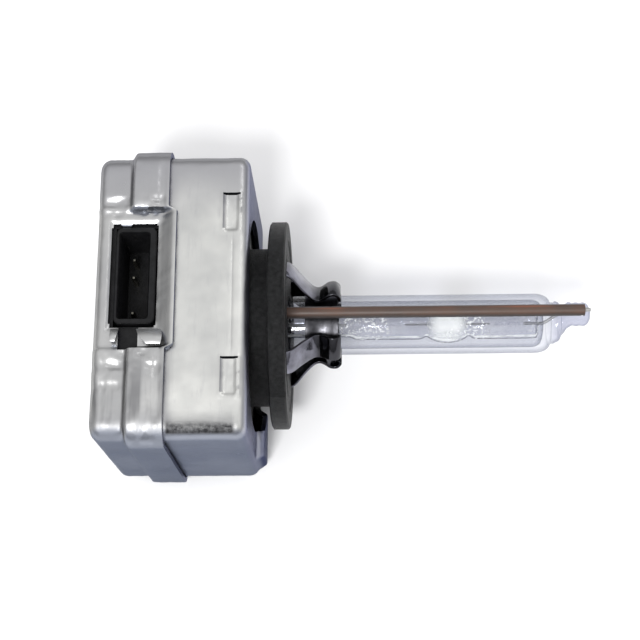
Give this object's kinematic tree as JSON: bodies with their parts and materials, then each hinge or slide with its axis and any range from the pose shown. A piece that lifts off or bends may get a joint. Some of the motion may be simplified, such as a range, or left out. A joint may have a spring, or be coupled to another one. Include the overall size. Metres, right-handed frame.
{
  "type": "headlight bulb",
  "caption": "Gas-discharge headlight bulb: glass burner with a ceramic-sleeved return wire, held by bent legs on a black flanged base, on a boxy sheet-metal igniter can with a plug socket.",
  "frame": {"origin": "on the lamp axis, in the plane of the base flange's front face", "axes": "+X along the lamp axis towards the glass tip, +Z out of the plug socket's mouth, +Y along the socket's long side"},
  "size_m": [0.0746, 0.0459, 0.0324],
  "materials": {
    "tinned_sheet": "satin tinned sheet steel",
    "black_plastic": "moulded, slightly glossy",
    "spring_steel": "bright rolled spring steel",
    "pin_metal": "tinned",
    "copper_wire": "enamelled copper",
    "refractory_wire": "drawn tungsten and molybdenum",
    "foil_metal": "rolled molybdenum foil",
    "clear_quartz": "clear and polished",
    "brown_ceramic": "fired brown, half matt",
    "white_ceramic": "half matt",
    "ferrite": "pressed and fired, matt",
    "board_laminate": "green lacquered laminate",
    "coil_resin": "moulded",
    "blue_epoxy": "dipped",
    "red_sleeve": "silicone sleeve"
  },
  "bodies": {
    "root": {"arc_tube": "clear_quartz", "bleed_resistor": "white_ceramic", "ceramic_tube": "brown_ceramic", "circuit_board": "board_laminate", "clamp_band": "spring_steel", "coil_former": "coil_resin", "connector_socket": "black_plastic", "contact_pin_1": "pin_metal", "contact_pin_2": "pin_metal", "contact_pin_3": "pin_metal", "electrode_front": "refractory_wire", "electrode_rear": "refractory_wire", "ferrite_core": "ferrite", "foil_front": "foil_metal", "foil_rear": "foil_metal", "front_shell": "tinned_sheet", "holder_leg_1": "spring_steel", "holder_leg_2": "spring_steel", "holder_leg_3": "spring_steel", "holder_leg_4": "spring_steel", "hv_lead": "red_sleeve", "igniter_case": "black_plastic", "lamp_base": "black_plastic", "lead_wire_front": "refractory_wire", "lead_wire_rear": "refractory_wire", "outer_jacket": "clear_quartz", "primary_winding": "copper_wire", "pulse_capacitor": "blue_epoxy", "rear_cover": "tinned_sheet", "rectifier_diode": "ferrite", "return_wire": "refractory_wire", "secondary_winding_1": "copper_wire", "secondary_winding_2": "copper_wire", "secondary_winding_3": "copper_wire", "secondary_winding_4": "copper_wire", "shield_contact": "tinned_sheet", "spark_gap_body": "white_ceramic", "spark_gap_cap_1": "spring_steel", "spark_gap_cap_2": "spring_steel"}
  },
  "joints": []
}
